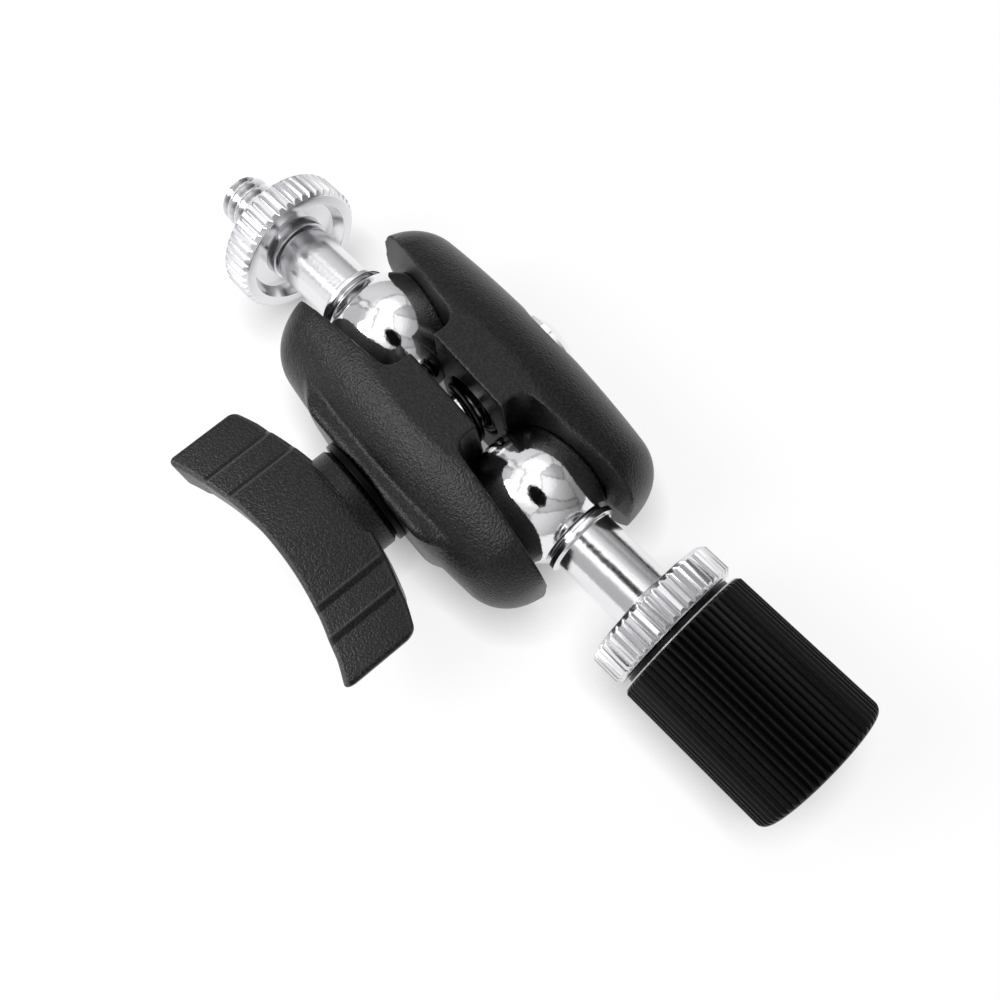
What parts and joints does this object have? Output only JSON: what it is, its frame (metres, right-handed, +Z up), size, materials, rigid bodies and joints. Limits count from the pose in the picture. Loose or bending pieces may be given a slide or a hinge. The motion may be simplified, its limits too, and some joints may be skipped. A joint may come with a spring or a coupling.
{
  "type": "ball head adapter",
  "caption": "Ball-joint adapter: moulded jaws drawn together by a wing knob hold a threaded ball stud at one end and a sleeved one at the other, each with a knurled lock nut.",
  "frame": {"origin": "bottom centre of the bounding box, on the surface the adapter lies on", "axes": "+X along the jaws from the bare thread to the sleeve, +Y from the wing knob to the bolt head, +Z up"},
  "size_m": [0.094, 0.0426, 0.0189],
  "materials": {
    "jaw_plastic": "black, fine spark-eroded grain",
    "knob_plastic": "black, fine spark-eroded grain",
    "chrome": "bright chrome plate",
    "spring_steel": "drawn wire",
    "washer_steel": "blackened steel",
    "insert_brass": "turned",
    "black_sleeve": "black anodised, satin"
  },
  "bodies": {
    "clamp_base": {"knob_side_jaw": "jaw_plastic", "knob_washer": "washer_steel", "opening_spring": "spring_steel"},
    "moving_jaw": {"bolt_side_jaw": "jaw_plastic", "clamp_bolt": "chrome"},
    "knob": {"wing_knob": "knob_plastic", "knob_insert": "insert_brass"},
    "top_swivel": {"top_ball": "chrome"},
    "top_shaft": {"top_stud": "chrome"},
    "top_nut": {"top_lock_nut": "chrome"},
    "base_swivel": {"base_ball": "chrome"},
    "base_shaft": {"base_stud": "chrome"},
    "base_nut": {"base_lock_nut": "chrome"},
    "base_coupling": {"base_sleeve": "black_sleeve"}
  },
  "joints": [
    {"name": "knob_turn", "type": "hinge", "parent": "clamp_base", "child": "knob", "pos_m": [-0.0062, 0.00693, 0.00945], "axis": [0, -1, 0], "range_deg": [0, 449]},
    {"name": "jaw_open", "type": "slide", "parent": "clamp_base", "child": "moving_jaw", "axis": [0, 1, 0], "range_m": [0, 0.001], "deforming": ["opening_spring"]},
    {"name": "top_swing", "type": "hinge", "parent": "clamp_base", "child": "top_swivel", "pos_m": [-0.0189, 0.00693, 0.00945], "axis": [0, 1, 0], "range_deg": [-90, 90]},
    {"name": "top_spin", "type": "hinge", "parent": "top_swivel", "child": "top_shaft", "pos_m": [-0.0189, 0.00693, 0.00945], "axis": [-0.9973, -0.0732, 0], "continuous": true},
    {"name": "top_nut_turn", "type": "hinge", "parent": "top_shaft", "child": "top_nut", "pos_m": [-0.03536, 0.00572, 0.00945], "axis": [-0.9973, -0.0732, 0], "continuous": true},
    {"name": "base_swing", "type": "hinge", "parent": "clamp_base", "child": "base_swivel", "pos_m": [0.0065, 0.00693, 0.00945], "axis": [0, 1, 0], "range_deg": [-90, 90]},
    {"name": "base_spin", "type": "hinge", "parent": "base_swivel", "child": "base_shaft", "pos_m": [0.0065, 0.00693, 0.00945], "axis": [0.9978, 0.0663, 0], "continuous": true},
    {"name": "base_nut_turn", "type": "hinge", "parent": "base_shaft", "child": "base_nut", "pos_m": [0.02296, 0.00802, 0.00945], "axis": [0.9978, 0.0663, 0], "continuous": true},
    {"name": "sleeve_turn", "type": "hinge", "parent": "base_shaft", "child": "base_coupling", "pos_m": [0.02775, 0.00834, 0.00945], "axis": [0.9978, 0.0663, 0], "continuous": true}
  ],
  "couplings": [
    {"joint": "jaw_open", "follows": "knob_turn", "m_per_rad": 0.00012732}
  ]
}
